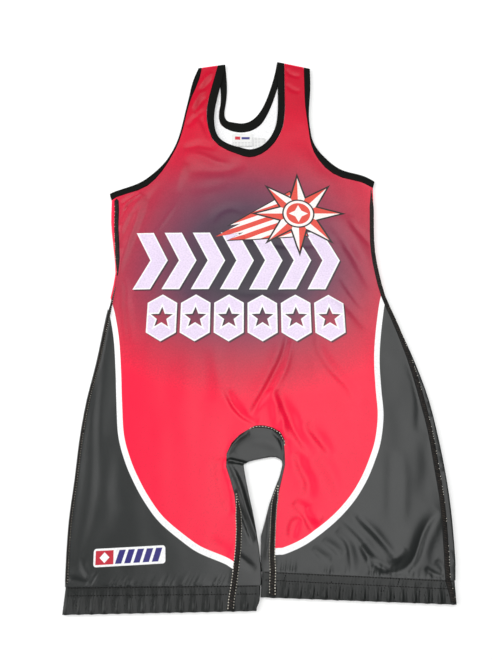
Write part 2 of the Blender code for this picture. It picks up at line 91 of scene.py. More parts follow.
RIBBON_STEP = 1.2         # length of a face of the thread band over a seam
RIBBON_COLUMNS = 6        # and the number of faces across it
RIB_HEIGHT, RIB_LIFT, RIB_WALL = 0.4, 0.05, 0.35   # its middle's rise, its gap below, its wall
RAIL_INSET = 0.4          # how far inside the band's edge the pale stitches run
ZIGZAG = 1.2              # angle of the thread that crosses the band, radians
SIGHT = 1.5               # how far ahead and behind the direction of a row is taken
RESTS_AT = 0.4            # where a stitch rests on the cloth, as a share of its length

# ---------------------------------------------------------------- folds
# A fold is a ridge, or a trough where its height is negative, along a smooth line. Its side to the
# left of the line is as wide as width * lean, and the other as wide as width / lean.
Fold = namedtuple("Fold", "height width lean line")


def folds(*rows):
    """Folds from rows of a height, a width, a lean and the places that the line passes."""
    return [Fold(*row[:3], row[3:]) for row in rows]


FRONT_FOLDS = folds(
    # straps
    (1.2, 2.4, 1.0, (-84, 311), (-75, 325), (-65, 338)),
    (-1.1, 2.2, 1.0, (-82, 302), (-71, 316), (-61, 327)),
    (1.1, 2.6, 1.0, (-93, 274), (-83, 296), (-75, 307)),
    (-1.1, 2.4, 1.0, (-89, 265), (-79, 285), (-71, 293)),
    (-1.0, 3.2, 1.0, (-97, 242), (-84, 263), (-74, 269)),
    (-0.9, 2.8, 1.0, (42, 343), (49, 334), (62, 329)),
    (-0.7, 3.2, 1.0, (42, 316), (50, 307), (61, 302)),
    # round the neckline and the left armhole
    (-1.0, 5.0, 1.3, (-86, 261), (-74, 248), (-63, 221)),
    (-1.4, 3.5, 1.4, (-101, 204), (-82, 211), (-57, 206)),
    (1.4, 4.5, 0.8, (-98, 200), (-74, 193), (-56, 184), (-35, 179)),
    (-1.2, 6.0, 1.2, (-94, 169), (-64, 169), (-40, 172), (-16, 182)),
    (-0.6, 6.0, 1.0, (-96, 141), (-66, 144), (-37, 154)),
    (1.3, 6.0, 0.8, (-97, 182), (-104, 160), (-109, 138)),
    # left underarm and flank
    (-1.7, 2.0, 1.0, (-178, 119), (-173, 125), (-167, 130), (-158, 136)),
    (1.3, 1.3, 1.0, (-177, 110), (-175, 113), (-173, 119), (-169, 123), (-161, 128), (-154, 136)),
    (-1.2, 1.7, 1.0, (-175, 107), (-170, 117), (-163, 124), (-155, 131)),
    (-1.1, 2.4, 1.0, (-178, 88), (-176, 97), (-173, 108), (-169, 116)),
    (1.6, 5.0, 1.2, (-177, 76), (-172, 95), (-163, 114), (-151, 134)),
    (-1.0, 3.4, 1.0, (-175, 56), (-172, 71), (-167, 88), (-162, 103)),
    (1.4, 4.4, 1.2, (-176, 20), (-169, 50), (-161, 77), (-155, 98), (-145, 126)),
    (-1.2, 4.6, 0.8, (-163, 52), (-157, 80), (-151, 101), (-142, 128), (-128, 152)),
    (0.5, 1.4, 1.0, (-105, 122), (-120, 95), (-134, 73)),
    (-0.8, 3.6, 1.2, (-176, 16), (-167, 8), (-163, -8), (-163, -30)),
    (-0.9, 5.0, 1.3, (-162, -15), (-159, -39), (-153, -73)),
    # chest
    (-0.7, 4.0, 1.2, (-60, 90), (-51, 105), (-34, 112), (-16, 105)),
    (-1.0, 4.0, 1.2, (-29, 80), (-8, 67), (21, 60), (68, 59), (102, 67)),
    (-0.9, 5.0, 1.0, (-43, 0), (-11, -6), (32, -6), (57, -12)),
    (-1.0, 4.0, 1.0, (11, -15), (32, -23), (50, -19)),
    (0.5, 6.0, 1.0, (-28, -44), (4, -39), (37, -46)),
    # right flank and hip
    (-1.1, 5.0, 1.3, (93, 90), (110, 62), (127, 25), (140, -4)),
    (0.7, 6.0, 1.0, (110, 102), (125, 67), (135, 36)),
    (-0.8, 3.5, 1.2, (108, 59), (118, 47), (125, 31)),
    (-1.0, 3.0, 1.2, (101, 16), (108, 2), (116, -12), (127, -30)),
    (-1.0, 3.2, 1.2, (118, 96), (125, 82), (134, 71), (146, 56)),
    (-1.2, 5.0, 1.2, (73, -10), (97, -15), (113, -31), (129, -54)),
    (-1.4, 5.0, 1.3, (68, -54), (72, -80), (85, -103), (102, -122), (112, -143)),
    (0.6, 7.0, 1.0, (100, -106), (113, -139), (118, -167)),
    (-0.9, 8.0, 1.0, (56, -68), (67, -94), (72, -129)),
    (0.9, 7.0, 1.0, (-54, -73), (-50, -106), (-46, -141)),
    # round the crotch arch
    (-2.6, 3.2, 1.0, (34, -60), (31, -76), (25, -93), (17, -109), (8, -126), (-2, -143), (-10,
     -157)),
    (0.8, 2.8, 1.0, (37, -70), (32, -97), (24, -115), (14, -130)),
    (-2.0, 3.2, 1.3, (-40, -127), (-36, -134), (-30, -145), (-21, -155), (-12, -161), (-2, -165)),
    (2.2, 4.6, 0.8, (13, -126), (19, -141), (23, -158), (26, -172), (27, -184)),
    (-1.4, 3.0, 1.0, (21, -146), (23, -157), (22, -170)),
    # inside of the right leg
    (-2.3, 5.0, 1.3, (18, -129), (25, -142), (33, -157), (41, -175), (49, -188), (59, -201)),
    (-2.1, 4.8, 1.3, (52, -166), (63, -179), (74, -192), (80, -200)),
    (-2.1, 4.8, 1.2, (40, -197), (46, -214), (53, -231), (50, -247)),
    (-2.1, 4.6, 1.3, (35, -250), (46, -259), (53, -272), (59, -282)),
    (-1.7, 3.6, 1.0, (32, -287), (36, -272), (44, -267)),
    (-1.0, 6.0, 1.0, (66, -203), (77, -218), (86, -247)),
    (1.2, 4.4, 1.0, (66, -268), (55, -264), (49, -256)),
    # left leg
    (-1.9, 6.0, 1.3, (-47, -204), (-42, -224), (-37, -240), (-32, -262)),
    (-0.8, 5.0, 1.0, (-56, -285), (-45, -294), (-32, -299)),
    (-1.7, 9.0, 1.5, (-181, 10), (-181, -35), (-181, -91), (-181, -134), (-180, -164), (-177, -198),
     (-175, -225), (-175.5, -254), (-179, -282), (-186, -304)),
    (-0.25, 6.0, 1.0, (-166, -206), (-168, -240), (-160, -282)),
    (0.3, 7.0, 1.0, (-158, -190), (-156, -230), (-146, -262)),
    (-0.5, 3.0, 1.2, (-188, -304), (-183, -316), (-176, -322), (-173, -327)),
    (-0.4, 1.8, 1.2, (-199, -325), (-190, -327), (-181, -329), (-172, -330)),
    (0.4, 3.2, 1.0, (-199, -318), (-190, -320), (-182, -323)),
    # outside of the right leg
    (-1.1, 4.5, 1.3, (178, -94), (183, -120), (183, -146), (178, -175)),
    (-0.5, 6.0, 1.0, (184, -184), (183, -216), (173, -247)),
    (-1.5, 4.0, 0.75, (191, -259), (180, -269), (172, -281), (166, -294), (161, -305), (154, -313),
     (143, -318), (128, -322)),
    (-0.5, 2.0, 1.0, (189, -261), (179, -271), (171, -283), (166, -295), (160, -306), (153, -314),
     (142, -319), (128, -322)),
    (0.6, 5.0, 0.8, (196, -262), (184, -278), (174, -298), (172, -316)),
    (-0.9, 2.0, 1.0, (171, -314), (177, -319), (189, -324)),
    (-1.0, 3.8, 0.8, (93, -259), (106, -273), (117, -284), (128, -296), (138, -310)),
    (-0.9, 3.0, 0.9, (82, -268), (95, -280), (104, -290), (110, -300), (122, -309), (134, -315)),
    (0.6, 5.0, 1.0, (158, -195), (156, -236), (150, -275)),
    (-0.5, 5.0, 1.0, (145, -195), (141, -236), (137, -272)),
    (1.1, 2.6, 1.0, (112, -307), (122, -312), (132, -318)),
    (1.1, 4.0, 1.0, (102, -264), (118, -278), (132, -295), (143, -309)),
    (-1.1, 3.6, 1.2, (80, -278), (92, -290), (95, -307), (94, -320)),
    (-0.8, 3.2, 1.2, (65, -287), (77, -295), (85, -303)),
    (-0.7, 3.0, 1.2, (54, -295), (64, -303), (74, -307)),
    (-0.8, 3.0, 1.0, (107, -292), (112, -303), (115, -316)),
    (-0.8, 3.0, 1.0, (183, -307), (190, -314), (196, -322)),
    (0.9, 3.5, 1.0, (151, -295), (142, -303), (131, -307)),
)

GUSSET_FOLDS = folds(
    # the strip along the left leg, lit on its outer side and dark on the other
    (1.2, 4.6, 0.6, (-38, -207), (-29, -218), (-22, -234), (-16, -254), (-9, -274), (-3, -290)),
    (-1.2, 2.8, 1.3, (-28, -238), (-23, -254), (-16, -271), (-8, -291)),
    # the tuck that ends at the left corner of the arch
    (-1.2, 1.7, 1.0, (-42, -206), (-32, -206), (-22, -208), (-12, -210)),
    # under the arch
    (0.5, 6.0, 1.0, (-30, -196), (-16, -187), (2, -185), (17, -190), (27, -199)),
    (-0.8, 2.6, 1.0, (-38, -200), (-31, -188), (-22, -180), (-12, -175)),
    (-0.7, 2.4, 1.0, (14, -174), (23, -183), (28, -196)),
    # low on the two legs
    (-0.6, 3.4, 1.0, (-29, -299), (-20, -306), (-6, -316)),
    (0.6, 2.6, 1.0, (9, -246), (11, -275), (6, -306)),
    (-0.6, 2.2, 1.0, (14, -240), (15, -275), (10, -308)),
)

# Inner edges of the two legs under the crotch, which meet in the cloth.
Meeting = namedtuple("Meeting", "y left right")
MEETINGS = (
    Meeting(-285, 0.0, 0.3), Meeting(-305, -0.7, 0.6), Meeting(-320, -1.2, 2.4),
    Meeting(-332, -1.9, 1.8), Meeting(-344, -3.6, 1.0), Meeting(-352, -4.4, 1.0),
)
MEETING_ENDS = -352

# Middle line of the white stripe on each leg, from the side seam to the inside of the leg.
STRIPES = {
    -1: [(-197, 26), (-191, 4), (-183.9, -17.8), (-178.2, -34.7), (-170.7, -66.4), (-165.4, -103.2),
         (-161.4, -138.6), (-156, -178.2), (-146.6, -205.4), (-135.7, -226.7), (-122.4, -247.4),
         (-105.1, -267.7), (-79.2, -287.4), (-63, -297.2), (-38.1, -306.8), (-29.2, -311.5),
         (-11, -322), (10, -335)],
    1: [(172, 34), (162, 10), (152.7, -12.5), (146, -41.1), (140.4, -72.7), (137.8, -97.2),
        (137.1, -126.9), (137.1, -155.7), (131.9, -183.7), (123.5, -205.4), (112.5, -226.7),
        (97.5, -247.4), (76.4, -267.7), (48.4, -287.4), (26.4, -297.2), (17, -298.5), (0, -300),
        (-20, -302)],
}

# Leg bands: the side (-1 is left), the ends of the seam above, the band's depth, and the slant and
# the pitch of its gathers.
Hem = namedtuple("Hem", "side outer_x outer_y inner_x inner_y depth lean pitch")
HEMS = (
    Hem(-1, -202.5, -332.2, -1.2, -330.4, 25.0, 0.6, 7.4),
    Hem(1, 201.4, -326.0, 1.8, -317.5, 23.5, -0.15, 9.6),
)
HEM_ROWS = (1.0, 8.2)     # rows of stitches, below the seam
HEM_PUCKER = 24.0         # how far the gathers run up into the leg
PUCKER_PITCH = 7.4        # and how far apart they are there


# ---------------------------------------------------------------- curves and heights
def curve_through(line, steps=6):
    """Points of a smooth curve through a short list of places."""
    p = np.array(line, float)
    p = np.vstack([2 * p[0] - p[1], p, 2 * p[-1] - p[-2]])
    points = []
    for a, b, c, d in zip(p, p[1:], p[2:], p[3:]):
        for t in np.linspace(0, 1, steps, endpoint=False):
            points.append(0.5 * (2 * b + (c - a) * t + (2 * a - 5 * b + 4 * c - d) * t * t
                                 + (3 * b - a - 3 * c + d) * t ** 3))
    return np.array(points + [p[-2]])


def measure(x, y, line):
    """Distance to a line, the side it is on (1 is left), and the share of the line's length."""
    nearest = np.full(x.shape, np.inf)
    side, along = np.zeros(x.shape), np.zeros(x.shape)
    run = 0.0
    for (ax, ay), (bx, by) in zip(line, line[1:]):
        dx, dy = bx - ax, by - ay
        span = math.hypot(dx, dy)
        t = np.clip(((x - ax) * dx + (y - ay) * dy) / span ** 2, 0, 1)
        px, py = x - ax - t * dx, y - ay - t * dy
        reach = px * px + py * py
        closer = reach < nearest
        nearest = np.where(closer, reach, nearest)
        side = np.where(closer, np.where(dx * py - dy * px > 0, 1.0, -1.0), side)
        along = np.where(closer, run + t * span, along)
        run += span
    return np.sqrt(nearest), side, along / run


def folds_at(x, y, folds, spread=1.0):
    """Height that a table of folds adds at the given places."""
    total = np.zeros(x.shape)
    for fold in folds:
        line = curve_through(fold.line)
        room = 3 * fold.width * spread * max(fold.lean, 1 / fold.lean)
        low, high = line.min(axis=0) - room, line.max(axis=0) + room
        near = (x > low[0]) & (x < high[0]) & (y > low[1]) & (y < high[1])
        if near.any():
            away, side, along = measure(x[near], y[near], line)
            width = spread * np.where(side > 0, fold.width * fold.lean, fold.width / fold.lean)
            fade = np.sin(np.pi * np.clip(along, 0, 1)) ** 0.6
            total[near] += fold.height * fade * np.exp(-(away / width) ** 2)
    return total


def ease(t):
    t = np.clip(t, 0, 1)
    return t * t * (3 - 2 * t)


def rumple(x, y, length, seed):
    """Smooth unevenness between -1 and 1, with bumps about length apart."""
    return np.array([noise.noise(Vector((a / length, b / length, seed))) for a, b in zip(x, y)])


def below_hem(x, y, hem):
    """Distance below a leg band's seam, negative on the leg, and the distance along it."""
    share = (x - hem.outer_x) / (hem.inner_x - hem.outer_x)
    seam = hem.outer_y + (hem.inner_y - hem.outer_y) * share
    return seam - y, np.abs(x - hem.outer_x)


def gathers(along, pitch, seed, narrow=0.4):
    """Uneven puffs with narrow valleys between, about a pitch apart, some deeper than others."""
    wander = rumple(along, along * 0, pitch * 2.4, seed)
    strength = 0.75 + 1.5 * rumple(along, along * 0, pitch * 3.1, seed + 7)
    valley = np.exp(-(np.sin(np.pi * (along / pitch + 2.2 * wander)) / narrow) ** 2)
    return (0.3 - valley) * np.clip(strength, 0.15, 1.4)


# ---------------------------------------------------------------- meshes
def new_object(name, mesh):
    piece = bpy.data.objects.new(name, mesh)
    bpy.context.scene.collection.objects.link(piece)
    return piece


def apply_modifiers(piece):
    bpy.ops.object.select_all(action="DESELECT")
    piece.select_set(True)
    bpy.context.view_layer.objects.active = piece
    for modifier in list(piece.modifiers):
        bpy.ops.object.modifier_apply(modifier=modifier.name)


def primitive(add, **sizes):
    """A new object of a simple form, made by one of Blender's own calls."""
    bpy.ops.object.select_all(action="DESELECT")
    add(**sizes)
    return bpy.context.object


def declare(piece, node=None):
    """Hide the solid that a piece stands for, if there is one, and attach the piece to the root
    body.
    """
    if node:
        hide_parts(node)
    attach(piece, "root")
    return piece


def smooth(mesh):
    mesh.shade_smooth()
    mesh.set_sharp_from_angle(angle=SHARP)


def thicken(piece, thickness):
    """Add a wall, inwards; it is made when the modifiers are applied."""
    wall = piece.modifiers.new("wall", "SOLIDIFY")
    wall.thickness, wall.offset = thickness * MM, -1
    return wall


def welded(mesh):
    """A solid's mesh, opened for work, with its double points merged."""
    bm = bmesh.new()
    bm.from_mesh(mesh)
    bmesh.ops.remove_doubles(bm, verts=bm.verts, dist=MERGED * MM)
    return bm


def own_copy(node, material):
    """A copy of a solid's mesh in a material of its own, and the same opened for work."""
    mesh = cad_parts[node].data.copy()
    mesh.materials.clear()
    mesh.materials.append(material)
    return mesh, welded(mesh)


def outer_skin(node, upwards):
    """Outer surface of a walled solid: all that turns smoothly into its widest face up or down."""
    bm = welded(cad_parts[node].data)
    facing = 1 if upwards else -1
    start = max(bm.faces, key=lambda f: f.normal.z * facing * f.calc_area())
    skin, queue = {start}, [start]
    while queue:
        for edge in queue.pop().edges:
            if len(edge.link_faces) == 2 and edge.calc_face_angle(math.pi) < math.radians(60):
                fresh = [f for f in edge.link_faces if f not in skin]
                skin.update(fresh)
                queue += fresh
    bmesh.ops.delete(bm, geom=[f for f in bm.faces if f not in skin], context="FACES")
    return bm


def cut_finely(bm, pitch):
    """Cut faces along evenly spaced planes across X and Y, so that a shell has points to fold."""
    for axis in (0, 1):
        places = [v.co[axis] for v in bm.verts]
        step = pitch[axis] * MM
        normal = Vector((0, 0, 0))
        normal[axis] = 1
        for place in np.arange(min(places) + step, max(places), step):
            geometry = bm.verts[:] + bm.edges[:] + bm.faces[:]
            bmesh.ops.bisect_plane(bm, geom=geometry, dist=1e-7, plane_co=normal * place,
                                   plane_no=normal)
    bmesh.ops.triangulate(bm, faces=[f for f in bm.faces if len(f.verts) > 4])


def border_loop(bm):
    """Vertices of the longest border, in order, as an array in millimetres."""
    left = dict.fromkeys(e for e in bm.edges if e.is_boundary)
    loops = []
    while left:
        edge = left.popitem()[0]
        loop = [edge.verts[0], edge.verts[1]]
        while loop[-1] is not loop[0]:
            onward = [e for e in loop[-1].link_edges if e in left]
            if not onward:
                break
            del left[onward[0]]
            loop.append(onward[0].other_vert(loop[-1]))
        loops.append(loop)
    longest = max(loops, key=len)
    return np.array([v.co[:] for v in longest]) / MM


def resampled(loop, pitch):
    """A closed line with its corners kept and its long steps split."""
    points = []
    for a, b in zip(loop, loop[1:]):
        parts = max(1, round(float(np.linalg.norm(b[:2] - a[:2])) / pitch))
        points += [a + (b - a) * i / parts for i in range(parts)]
    return np.array(points)


def inside(x, y, loop):
    """Which places lie inside a closed line."""
    crossed = np.zeros(x.shape, bool)
    for (ax, ay), (bx, by) in zip(loop[:, :2], np.roll(loop[:, :2], -1, axis=0)):
        if ay != by:
            hit = ((ay > y) != (by > y)) & (x < (bx - ax) * (y - ay) / (by - ay) + ax)
            crossed ^= hit
    return crossed


def even_sheet(outline):
    """Flat sheet of even triangles inside an outline: places, faces and the border's tree."""
    def fine(x, y):
        return any(a < x < b and c < y < d for a, b, c, d in FINE_PLACES)

    low, high = outline.min(axis=0), outline.max(axis=0)
    grid = []
    for pitch, wanted in ((FRONT_PITCH, False), (FINE_PITCH, True)):
        for i, y in enumerate(np.arange(low[1], high[1], pitch * math.sqrt(3) / 2)):
            grid += [(x, y, pitch) for x in np.arange(low[0] + i % 2 * pitch / 2, high[0], pitch)
                     if fine(x, y) == wanted]
    grid = np.array(grid)
    grid = grid[inside(grid[:, 0], grid[:, 1], outline)]
    border = KDTree(len(outline))
    for i, p in enumerate(outline):
        border.insert((p[0], p[1], 0), i)
    border.balance()
    away = np.array([border.find((p[0], p[1], 0))[2] for p in grid])
    grid = grid[away > 0.6 * grid[:, 2]]
    places = [Vector(p[:2]) for p in outline] + [Vector(p[:2]) for p in grid]
    edges = [(i, (i + 1) % len(outline)) for i in range(len(outline))]
    cut = delaunay_2d_cdt(places, edges, [], 1, 1e-5)
    return np.array([p[:] for p in cut[0]]), cut[2], border


class Surface:
    """The upper side of some pieces."""

    def __init__(self, pieces):
        bm = bmesh.new()
        for piece in pieces:
            bm.from_mesh(piece.data)
        self.tree = BVHTree.FromBMesh(bm)
        bm.free()

    def height(self, x, y):
        place = self.tree.ray_cast(Vector((x, y, ABOVE_ALL)) * MM, Vector((0, 0, -1)))[0]
        return place.z / MM if place else None


class Relief:
    """Height of a solid's upper side, smoothed, to be read at any place."""

    def __init__(self, node, pitch=3.0, smoothing=SMOOTHING):
        self.pitch, self.smoothing = pitch, smoothing
        self.low, high = (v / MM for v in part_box(node))
        xs = np.arange(self.low.x - pitch, high.x + 2 * pitch, pitch)
        ys = np.arange(self.low.y - pitch, high.y + 2 * pitch, pitch)
        solid = Surface([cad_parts[node]])
        height = np.array([[solid.height(x, y) for x in xs] for y in ys], float)
        known = np.isfinite(height).astype(float)
        across, down = self.spread(len(xs)), self.spread(len(ys))
        weight = down @ known @ across
        self.height = down @ np.nan_to_num(height) @ across / np.maximum(weight, 1e-6)

    def spread(self, count):
        steps = np.arange(count)
        return np.exp(-((steps[:, None] - steps) * self.pitch / self.smoothing) ** 2 / 2)

    def at(self, x, y):
        u = (x - self.low.x) / self.pitch + 1
        v = (y - self.low.y) / self.pitch + 1
        i, j = np.floor(u).astype(int), np.floor(v).astype(int)
        s, t = u - i, v - j
        h = self.height
        return ((h[j, i] * (1 - s) + h[j, i + 1] * s) * (1 - t)
                + (h[j + 1, i] * (1 - s) + h[j + 1, i + 1] * s) * t)


def stripe_distance(x, y):
    """Distance from the middle of the nearer white stripe, positive on the dark side of it."""
    values = []
    for side, line in STRIPES.items():
        away, hand, _ = measure(x, y, curve_through(line, 8))
        values.append(away * hand * side)
    return np.where(x < BETWEEN_LEGS, values[0], values[1])


def shell(name, mesh, slots, node):
    """Give a skin its thickness, inwards, and make it stand for its solid."""
    piece = new_object(name, mesh)
    for slot in slots:
        mesh.materials.append(slot)
    thicken(piece, CLOTH).material_offset = len(slots) - 1
    apply_modifiers(piece)
    smooth(piece.data)
    return declare(piece, node)


def mark_stripe(mesh):
    """Store each point's distance from the white stripe, in millimetres, for the print."""
    places = np.zeros(len(mesh.vertices) * 3)
    mesh.vertices.foreach_get("co", places)
    places = places.reshape(-1, 3) / MM
    values = stripe_distance(places[:, 0], places[:, 1])
    mark = mesh.attributes.new("stripe", "FLOAT", "POINT")
    mark.data.foreach_set("value", values.astype(np.float32))


# ---------------------------------------------------------------- materials
class Num:
    """A number that varies over a surface. Sums on it add the material's maths nodes."""

    def __init__(self, look, socket):
        self.look, self.socket = look, socket

    def do(self, operation, *others):
        values = dict(enumerate((self, *others)))
        node = self.look.node("ShaderNodeMath", {"operation": operation}, values)
        return Num(self.look, node.outputs[0])

    def __add__(self, other):
        return self.do("ADD", other)

    def __sub__(self, other):
        return self.do("SUBTRACT", other)

    def __rsub__(self, other):
        return self.do("MULTIPLY_ADD", -1.0, other)

    def __mul__(self, other):
        return self.do("MULTIPLY", other)

    def __truediv__(self, other):
        return self.do("DIVIDE", other)

    def __neg__(self):
        return self.do("MULTIPLY", -1.0)

    __radd__ = __add__

    def size(self):
        return self.do("ABSOLUTE")

    def least(self, other):
        return self.do("MINIMUM", other)

    def most(self, other):
        return self.do("MAXIMUM", other)

    def wrapped(self, span):
        return self.do("FLOORED_MODULO", span)

    def cell(self, span):
        """Distance from the middle of the cell, in a row of cells."""
        return self.wrapped(span) - span / 2

    def wave(self, span):
        return (self * (2 * math.pi / span)).do("SINE")

    def held(self):
        node = self.look.node("ShaderNodeClamp", {}, {0: self})
        return Num(self.look, node.outputs[0])

    def covers(self, blur=BLUR):
        """1 where the number is above 0, with a soft edge."""
        return (self / blur + 0.5).held()


class Look:
    """A procedural material, put together from a few kinds of node."""

    def __init__(self, name, **fixed):
        self.material = bpy.data.materials.new(name)
        self.material.use_nodes = True
        self.tree = self.material.node_tree
        self.shader = self.tree.nodes["Principled BSDF"]
        for socket, value in fixed.items():
            self.shader.inputs[socket.replace("_", " ")].default_value = value
        self.coords = self.node("ShaderNodeTexCoord").outputs["Object"]
        parts = self.node("ShaderNodeSeparateXYZ", {}, {0: self.coords})
        self.x, self.y = (Num(self, out) * 1000.0 for out in parts.outputs[:2])

    def node(self, kind, settings=None, values=None):
        made = self.tree.nodes.new(kind)
        for key, value in (settings or {}).items():
            setattr(made, key, value)
        for key, value in (values or {}).items():
            self.put(made.inputs[key], value)
        return made

    def put(self, socket, value):
        if isinstance(value, Num):
            value = value.socket
        if isinstance(value, bpy.types.NodeSocket):
            self.tree.links.new(value, socket)
        else:
            socket.default_value = value

    def mix(self, share, one, two):
        made = self.node("ShaderNodeMix", {"data_type": "RGBA"}, {0: share, 6: one, 7: two})
        return made.outputs[2]

    def over(self, colour, depth, paint):
        """A colour with paint over it where the depth is above 0."""
        return self.mix(depth.covers(), colour, paint)

    def ramp(self, share, stops):
        made = self.node("ShaderNodeValToRGB", {}, {0: share})
        made.color_ramp.interpolation = "LINEAR"
        points = made.color_ramp.elements
        while len(points) < len(stops):
            points.new(0.5)
        for point, (place, colour) in zip(points, stops):
            point.position, point.color = place, colour
        return made.outputs[0]

    def noise(self, scale, detail=2.0, stretch=(1, 1, 1)):
        place = self.node("ShaderNodeMapping", {}, {0: self.coords, 3: stretch}).outputs[0]
        values = {"Vector": place, "Scale": scale, "Detail": detail}
        return Num(self, self.node("ShaderNodeTexNoise", {}, values).outputs[0])

    def attribute(self, name):
        made = self.node("ShaderNodeAttribute", {"attribute_name": name})
        return Num(self, made.outputs["Fac"])

    def finish(self, colour, roughness, height=None, strength=0.06):
        self.put(self.shader.inputs["Base Color"], colour)
        self.put(self.shader.inputs["Roughness"], roughness)
        if height is not None:
            values = {"Strength": strength, "Distance": BUMP_DEPTH, "Height": height}
            bump = self.node("ShaderNodeBump", {}, values)
            self.put(self.shader.inputs["Normal"], bump.outputs[0])
        return self.material


def rgb(red, green, blue):
    """Display colour, 0 to 255, as the renderer's linear colour."""
    linear = []
    for c in (red, green, blue):
        c /= 255
        linear.append(c / 12.92 if c <= 0.04045 else ((c + 0.055) / 1.055) ** 2.4)
    return (*linear, 1.0)


# The second red is painted shade: the red darkened near the shoulders, where less light falls.
RED, SHADED_RED = rgb(252, 12, 62), rgb(204, 4, 44)
CHARCOAL, SHADOW = rgb(29, 32, 31), rgb(44, 40, 48)
WHITE, LAVENDER = rgb(250, 250, 250), rgb(228, 210, 238)
WALE, COURSE = 0.6, 0.8            # width and height of a stitch of the knit
COAT_ROUGHNESS = 0.32
BUMP_DEPTH = 0.0003                # metres
DARK_PLACE = (-14.0, 26.0)         # middle of the dark patch on the chest
DARK_REACH = (235.0, 240.0, 165.0)  # how far it fades, sideways, up and down
SHADE_FROM, SHADE_OVER = 150.0, 130.0  # painted shade: where the red darkens towards the shoulders, for the weaker light there
DROP = (1.6, -1.8)                 # of the motifs' shadow
SUN_PLACE = (52.0, 104.0)
MARK_PLACE = (-137.5, -303.0)
LABEL_ROW = 224.5                  # height of the block and the bar on the neck label


def knit(look):
    """Height of a fine lycra knit and its slight unevenness."""
    return look.x.wave(WALE) * 0.35 + look.y.wave(COURSE) * 0.25 + look.noise(900.0) * 0.8


def rotated(u, v, degrees):
    """Coordinates along axes turned to the left."""
    c, s = math.cos(math.radians(degrees)), math.sin(math.radians(degrees))
    return u * c + v * s, v * c - u * s


def box_depth(u, v, half_width, half_height):
    """Depth inside a rectangle round the origin."""
    return (half_width - u.size()).least(half_height - v.size())


def chevrons(look, left, right, bottom, top, pitch, width, point):
    """Depth inside a row of chevrons that point to the right, in millimetres."""
    middle, half = (bottom + top) / 2, (top - bottom) / 2
    rise = (look.y - middle).size()
    u = look.x - left + rise * (point / half)
    slant = math.cos(math.atan(point / half))
    bar = (width / 2 - (u.wrapped(pitch) - width / 2).size()) * slant
    ends = (u * slant).least((right - left - u) * slant)
    return bar.least(half - rise).least(ends)


def badges(look, left, bottom, top, count, pitch, width, slant):
    """Depth inside a row of tall hexagons with a star cut out of each, in millimetres."""
    u = (look.x - left).cell(pitch)
    v = look.y - (bottom + top) / 2
    half = (top - bottom) / 2
    lean = math.atan2(slant, width / 2)
    roof = (half - v.size() - u.size() * (slant / (width / 2))) * math.cos(lean)
    side = width / 2 - u.size()
    row = (look.x - left).least(left + count * pitch - look.x)
    star = star_depth(u, v, outer=14.0, inner=6.0, points=5)
    return roof.least(side).least(row).least(-star)


def star_depth(u, v, outer, inner, points):
    """Depth inside one star whose first point is up."""
    sector = 2 * math.pi / points
    angle = u.do("ARCTAN2", v)
    folded = (angle + sector / 2).cell(sector).size()
    reach = (u * u + v * v).do("SQRT")
    dx, dy = inner * math.cos(sector / 2) - outer, inner * math.sin(sector / 2)
    span = math.hypot(dx, dy)
    return ((reach * folded.do("COSINE") - outer) * (-dy / span)
            + reach * folded.do("SINE") * (dx / span))


class Shifted:
    """The same coordinates, moved, for a drop shadow."""

    def __init__(self, look, dx, dy):
        self.x, self.y = look.x - dx, look.y - dy


def rows_of_motifs(look, shift_x=0.0, shift_y=0.0):
    """Depth inside the large chevrons and the row of stars under them."""
    moved = Shifted(look, shift_x, shift_y)
    large = chevrons(moved, left=-136.0, right=113.0, bottom=-2.0, top=76.0, pitch=36.0,
                     width=22.0, point=20.0)
    small = badges(moved, left=-138.0, bottom=-69.0, top=-9.0, count=6, pitch=40.6, width=36.0,
                   slant=11.0)
    return large.most(small)


def sunburst(look, colour):
    """A round badge: an eight-pointed star in two tones, with a ring and a striped trail."""
    orange, pale, dark = rgb(228, 74, 58), rgb(252, 244, 240), rgb(36, 30, 30)
    u, v = look.x - SUN_PLACE[0], look.y - SUN_PLACE[1]
    ahead, off = rotated(u, v, 18.0)
    back = -ahead
    trail = (34.0 - back * 0.26 - off.size()).least(back)
    streak = (off + back * 0.05).cell(13.0).size()
    notch = (112.0 - back - streak * 5.5).least(trail)
    colour = look.over(colour, notch + 1.6, dark)
    colour = look.over(colour, notch, look.mix((streak - 3.4).covers(), orange, pale))
    big = star_depth(u, v, outer=54.0, inner=24.0, points=8)
    half = (u.do("ARCTAN2", v) + math.pi / 8).cell(math.pi / 4).covers(0.02)
    reach = (u * u + v * v).do("SQRT")
    colour = look.over(colour, big + 2.2, dark)
    colour = look.over(colour, big, look.mix(half, orange, pale))
    for radius, paint in ((21.0, dark), (19.0, pale), (15.5, orange)):
        colour = look.over(colour, radius - reach, paint)
    return look.over(colour, star_depth(u, v, outer=12.5, inner=6.0, points=4), pale)


def leg_mark(look, colour):
    """A small white panel with a red block, a white diamond in it and five slanted navy bars."""
    u, v = rotated(look.x - MARK_PLACE[0], look.y - MARK_PLACE[1], 3.0)
    corner = 3.0
    beyond_u = (u.size() - 37.5 + corner).most(0.0)
    beyond_v = (v.size() - 8.8 + corner).most(0.0)
    panel = corner - (beyond_u * beyond_u + beyond_v * beyond_v).do("SQRT")
    colour = look.over(colour, panel, WHITE)
    colour = look.over(colour, box_depth(u + 26.0, v, 9.4, 6.8), rgb(196, 30, 52))
    colour = look.over(colour, 5.2 - (u + 26.0).size() - v.size(), WHITE)
    slanted = u + 13.5 - v * 0.35
    bars = box_depth(slanted.wrapped(9.6) - 4.0, v, 3.3, 6.6)
    return look.over(colour, bars.least(slanted).least(47.0 - slanted), rgb(44, 36, 120))


def dyed(look, colour):
    """Charcoal sides with a white stripe, printed over a colour."""
    away = look.attribute("stripe")
    colour = look.over(colour, away + STRIPE / 2, WHITE)
    return look.over(colour, away - STRIPE / 2, CHARCOAL)


